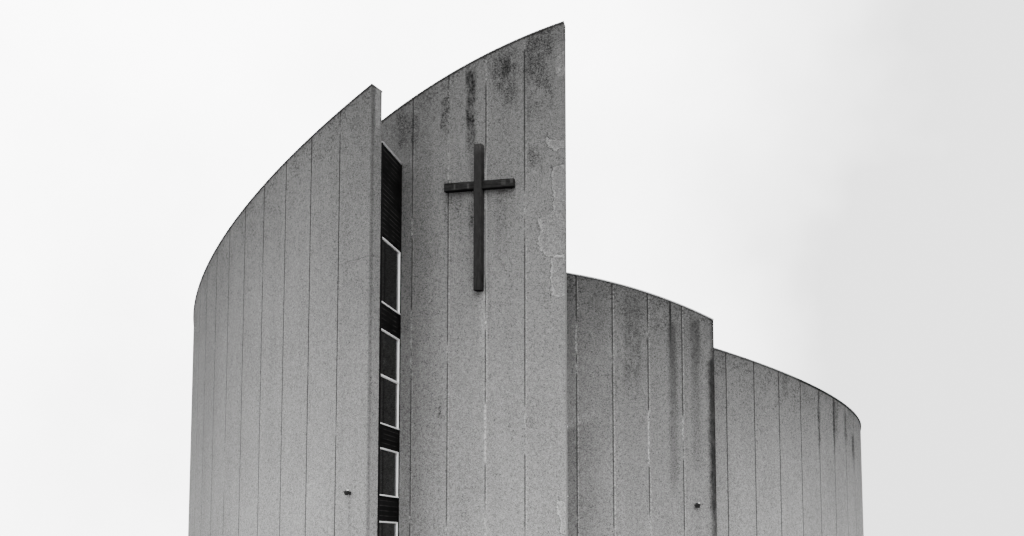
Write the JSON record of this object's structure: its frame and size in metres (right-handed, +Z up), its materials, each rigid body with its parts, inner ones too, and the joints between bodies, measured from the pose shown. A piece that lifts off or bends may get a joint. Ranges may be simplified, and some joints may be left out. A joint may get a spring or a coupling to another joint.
{
  "type": "modern church building",
  "caption": "Church of overlapping curved concrete shell walls with sloping tops, window strips in the slots between them, two pitched roofs and a timber cross on the tallest shell",
  "frame": {"origin": "on the ground, under the middle of the plan", "axes": "+Z up; the front with the cross faces -Y; +X towards the low shells"},
  "size_m": [25.9687, 31.5118, 17.181],
  "materials": {
    "concrete": null,
    "roofing": "dull grey roofing felt",
    "coping_metal": "dull weathered sheet",
    "boarding": "dark stained horizontal boards",
    "window_frame": "white paint",
    "window_glass": "clear panes over a dark inside",
    "cross_timber": "dark stained, weathered",
    "lamp_metal": "dark satin paint"
  },
  "bodies": {
    "root": {"floor_slab": "concrete", "wall_a_1": "concrete", "wall_a_2": "concrete", "wall_a_3": "concrete", "wall_b": "concrete", "wall_b_return": "concrete", "wall_c": "concrete", "wall_d_1": "concrete", "wall_d_2": "concrete", "wall_d_3": "concrete", "wall_d_4": "concrete", "wall_d_5": "concrete", "wall_d_6": "concrete", "wall_e_1": "concrete", "wall_e_2": "concrete", "wall_e_3": "concrete", "step_wall": "concrete", "roof_high": "roofing", "roof_low": "roofing", "roof_slot": "roofing", "coping_a": "coping_metal", "coping_b": "coping_metal", "coping_c": "coping_metal", "coping_d": "coping_metal", "coping_e": "coping_metal", "coping_step": "coping_metal", "coping_slot": "coping_metal", "boarding_ab": "boarding", "boarding_bc": "boarding", "boarding_de": "boarding", "window_ab_1": "window_frame", "window_ab_2": "window_frame", "window_ab_3": "window_frame", "window_ab_4": "window_frame", "window_bc_1": "window_frame", "window_bc_2": "window_frame", "window_bc_3": "window_frame", "window_de_1": "window_frame", "window_de_2": "window_frame", "glass_ab": "window_glass", "glass_bc": "window_glass", "glass_de": "window_glass", "cross_upright": "cross_timber", "cross_arm": "cross_timber", "floodlight_left": "lamp_metal", "floodlight_right": "lamp_metal"}
  },
  "joints": []
}
